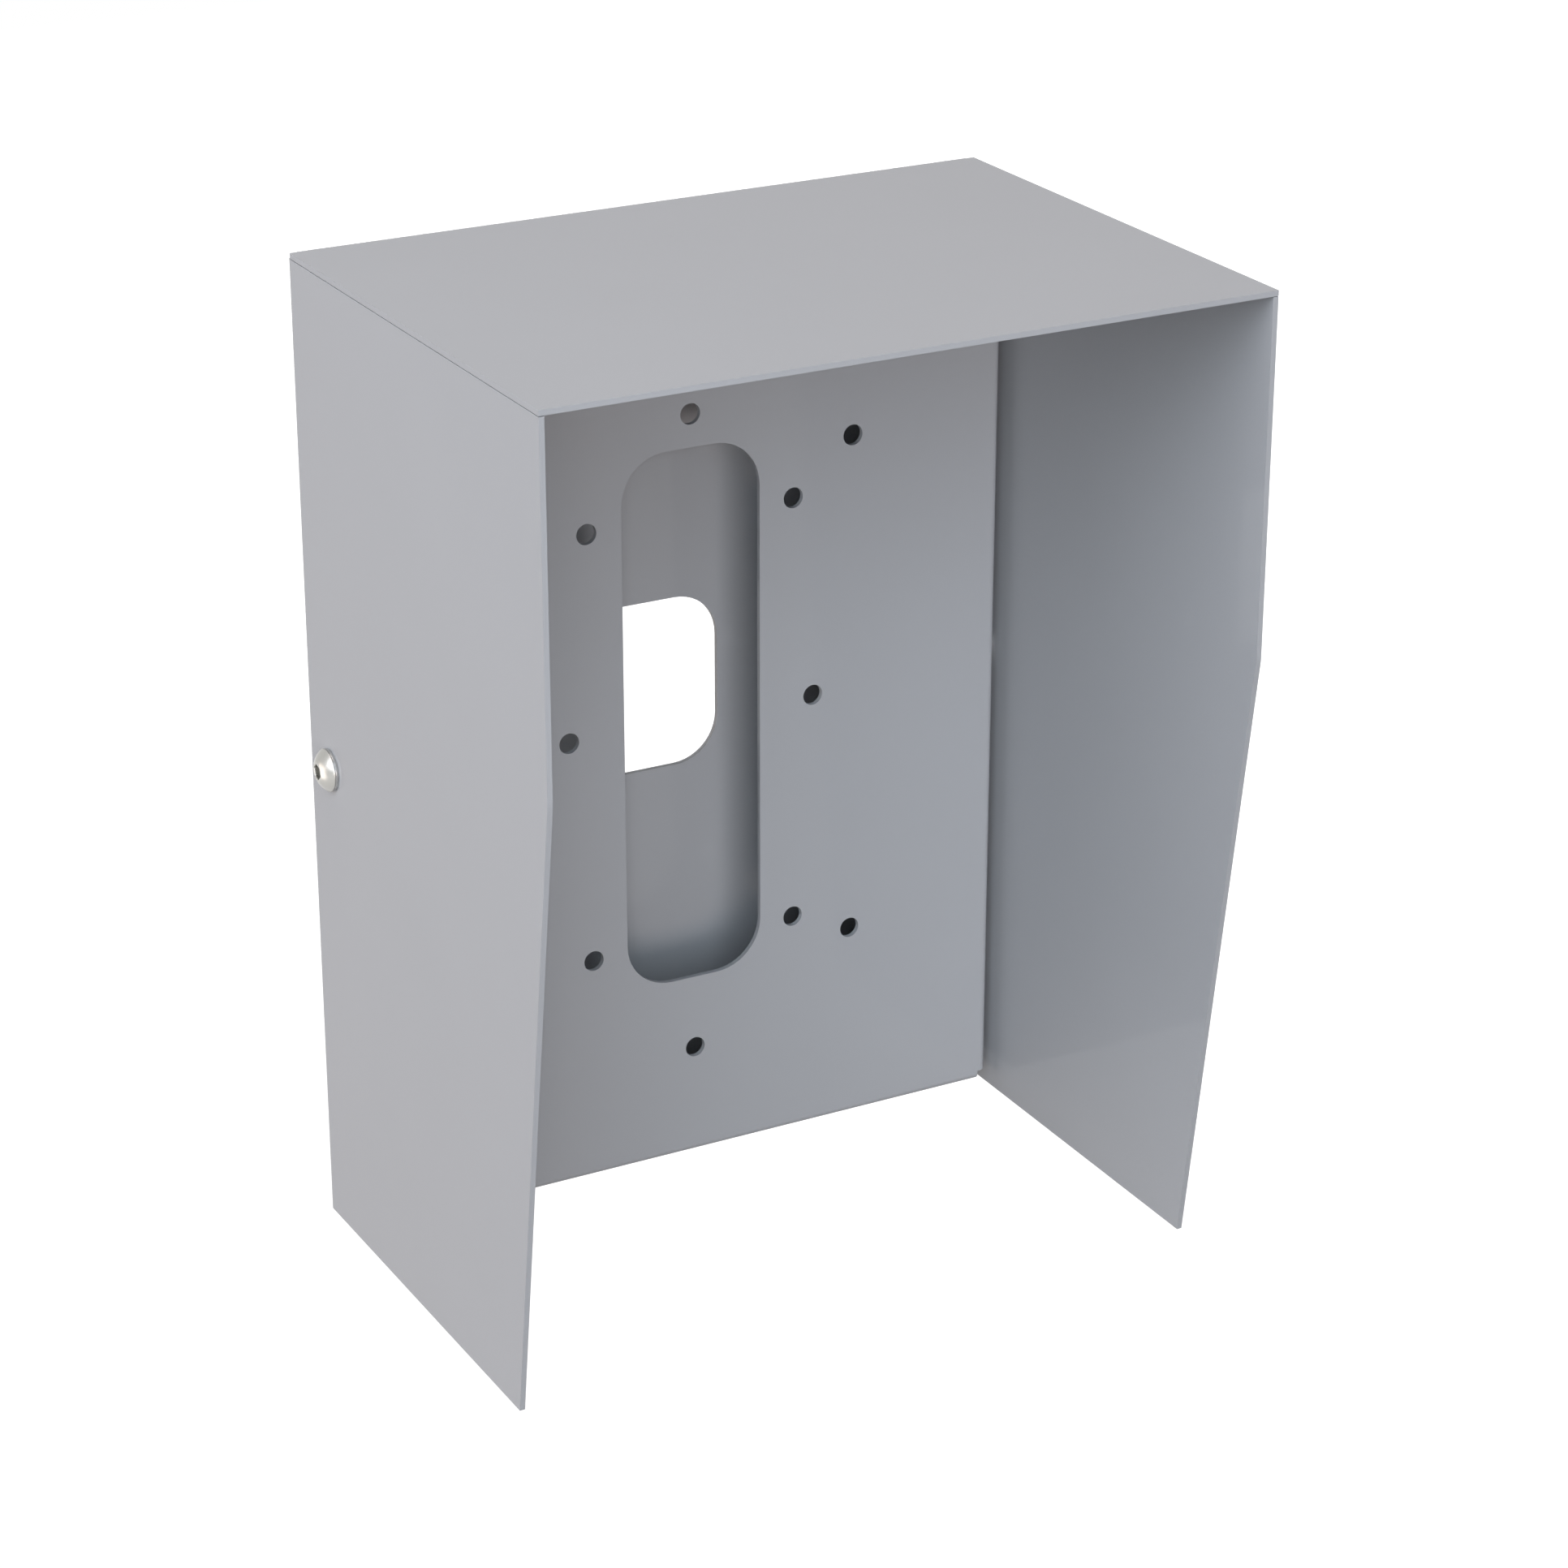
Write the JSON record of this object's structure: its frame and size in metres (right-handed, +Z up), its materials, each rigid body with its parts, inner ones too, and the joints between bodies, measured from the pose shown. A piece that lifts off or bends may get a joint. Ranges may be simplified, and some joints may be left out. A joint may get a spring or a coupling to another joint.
{
  "type": "intercom enclosure",
  "caption": "Open-fronted folded sheet-metal hood with a rain visor and a screwed-in folded pan that carries a door intercom and passes its cable.",
  "frame": {"origin": "centre of the four rear fixing holes, on the outer face of the hood's back, at half of the hood's height", "axes": "+Z up, +Y out of the back into the wall, open front towards -Y, +X to the right as seen from the front"},
  "size_m": [0.2144, 0.1524, 0.281],
  "materials": {
    "hood_paint": "semi-gloss light grey paint",
    "pan_paint": "semi-gloss light grey paint",
    "polished_stainless": "polished",
    "washer_steel": "satin",
    "zinc_plate": "zinc plated"
  },
  "bodies": {
    "hood": {"hood_shell": "hood_paint", "side_spacer_left": "zinc_plate", "side_spacer_right": "zinc_plate", "nut_plate_left": "zinc_plate", "nut_plate_right": "zinc_plate"},
    "pan": {"mounting_pan": "pan_paint"},
    "washer_left": {"side_washer_left": "washer_steel"},
    "screw_left": {"side_screw_left": "polished_stainless"},
    "washer_right": {"side_washer_right": "washer_steel"},
    "screw_right": {"side_screw_right": "polished_stainless"}
  },
  "joints": [
    {"name": "pan_slide", "type": "slide", "parent": "hood", "child": "pan", "axis": [0, -1, 0], "range_m": [0, 0.13]},
    {"name": "screw_travel_left", "type": "slide", "parent": "hood", "child": "washer_left", "axis": [-1, 0, 0], "range_m": [0, 0.003]},
    {"name": "screw_turn_left", "type": "hinge", "parent": "washer_left", "child": "screw_left", "pos_m": [-0.1042, -0.0152, 0], "axis": [-1, 0, 0], "range_deg": [0, 1080]},
    {"name": "screw_travel_right", "type": "slide", "parent": "hood", "child": "washer_right", "axis": [1, 0, 0], "range_m": [0, 0.003]},
    {"name": "screw_turn_right", "type": "hinge", "parent": "washer_right", "child": "screw_right", "pos_m": [0.1042, -0.0152, 0], "axis": [1, 0, 0], "range_deg": [0, 1080]}
  ],
  "couplings": [
    {"joint": "screw_turn_left", "follows": "screw_travel_left", "rad_per_m": 6283.2},
    {"joint": "screw_turn_right", "follows": "screw_travel_right", "rad_per_m": 6283.2}
  ]
}
